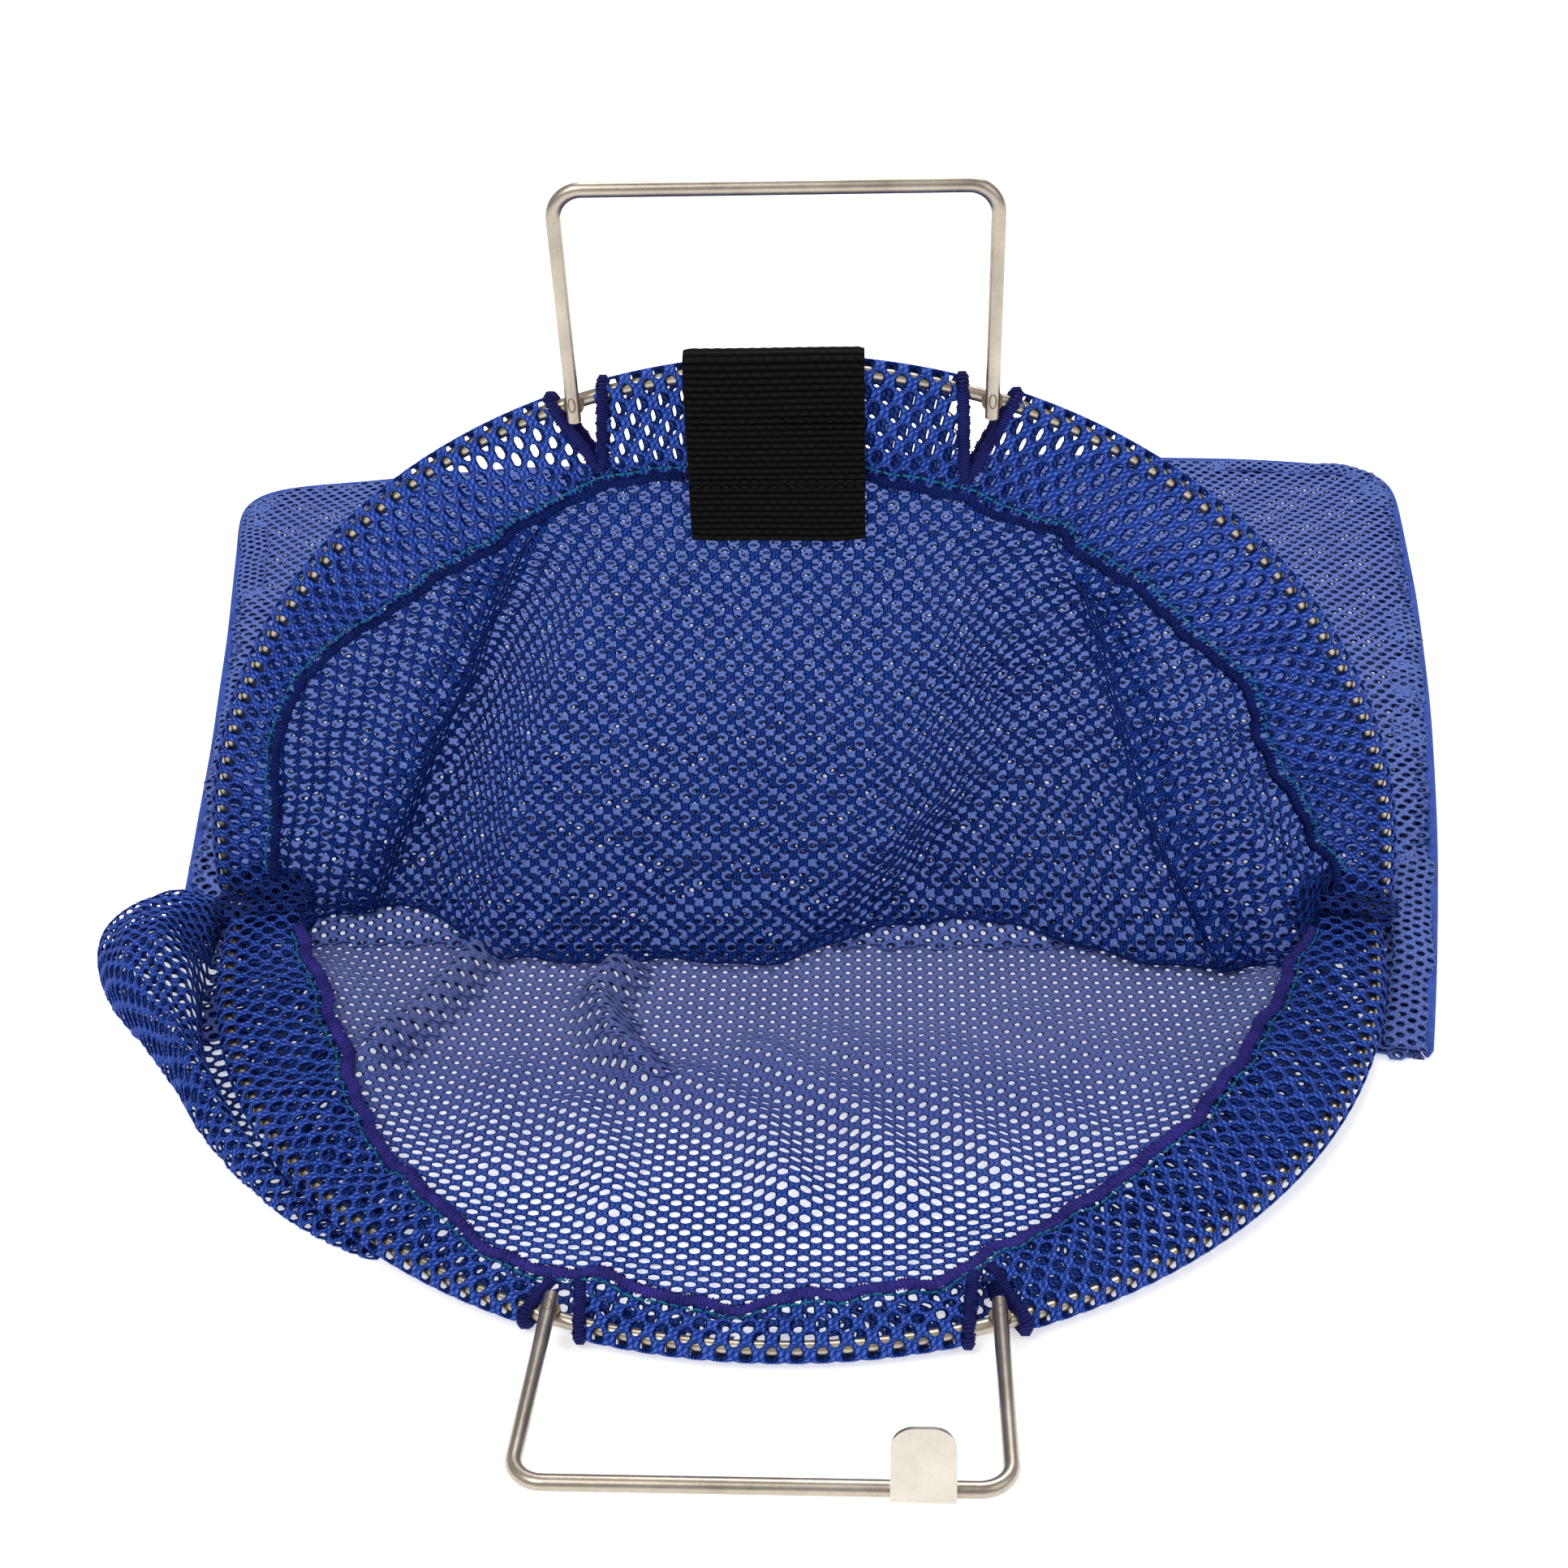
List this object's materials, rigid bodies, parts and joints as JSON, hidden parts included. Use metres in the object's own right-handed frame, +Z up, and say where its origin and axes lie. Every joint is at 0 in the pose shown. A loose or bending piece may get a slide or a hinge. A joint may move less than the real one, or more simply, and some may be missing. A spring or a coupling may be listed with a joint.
{
  "type": "mesh catch bag",
  "caption": "Blue mesh catch bag with a hinged stainless wire mouth held open, wire handles, a swinging sheet latch and a black webbing tab",
  "frame": {"origin": "on the resting surface, below the middle of the mouth hinge", "axes": "X along the mouth hinge, +Y from the hinge to the closed end of the bag, +Z up from the resting surface"},
  "size_m": [0.5381, 0.6298, 0.2551],
  "materials": {
    "steel": "drawn stainless wire, satin",
    "latch_steel": "bright rolled sheet",
    "mesh": "open knitted polyester mesh with round holes",
    "edging": "overlocked and bound cloth edge, violet blue",
    "webbing": "woven nylon webbing, ribbed across",
    "thread": "sewing thread"
  },
  "bodies": {
    "bag_and_lower_frame": {"lower_hoop": "steel", "lower_handle": "steel", "lower_welds": "steel", "left_rivet": "steel", "right_rivet": "steel", "hinge_washers": "steel", "lower_hem_left": "mesh", "lower_hem_mid": "mesh", "lower_hem_right": "mesh", "lower_panel": "mesh", "upper_panel": "mesh", "hanging_panel": "mesh", "closed_end_seam": "mesh", "left_gather": "mesh", "right_gather": "mesh", "left_fold": "mesh", "lower_edging": "edging", "lower_notch_binding": "edging"},
    "upper_frame": {"upper_hoop": "steel", "upper_handle": "steel", "upper_welds": "steel", "upper_hem_left": "mesh", "upper_hem_mid": "mesh", "upper_hem_right": "mesh", "upper_edging": "edging", "upper_notch_binding": "edging", "webbing_tab": "webbing", "webbing_stitching": "thread"},
    "latch": {"latch": "latch_steel"}
  },
  "joints": [
    {"name": "mouth_hinge", "type": "hinge", "parent": "bag_and_lower_frame", "child": "upper_frame", "pos_m": [0, 0, 0.012], "axis": [1, 0, 0], "range_deg": [-90, 83], "deforming": ["hanging_panel"]},
    {"name": "latch_swing", "type": "hinge", "parent": "bag_and_lower_frame", "child": "latch", "pos_m": [0, -0.23595, 0.01752], "axis": [1, 0, 0], "range_deg": [-70, 100]}
  ]
}
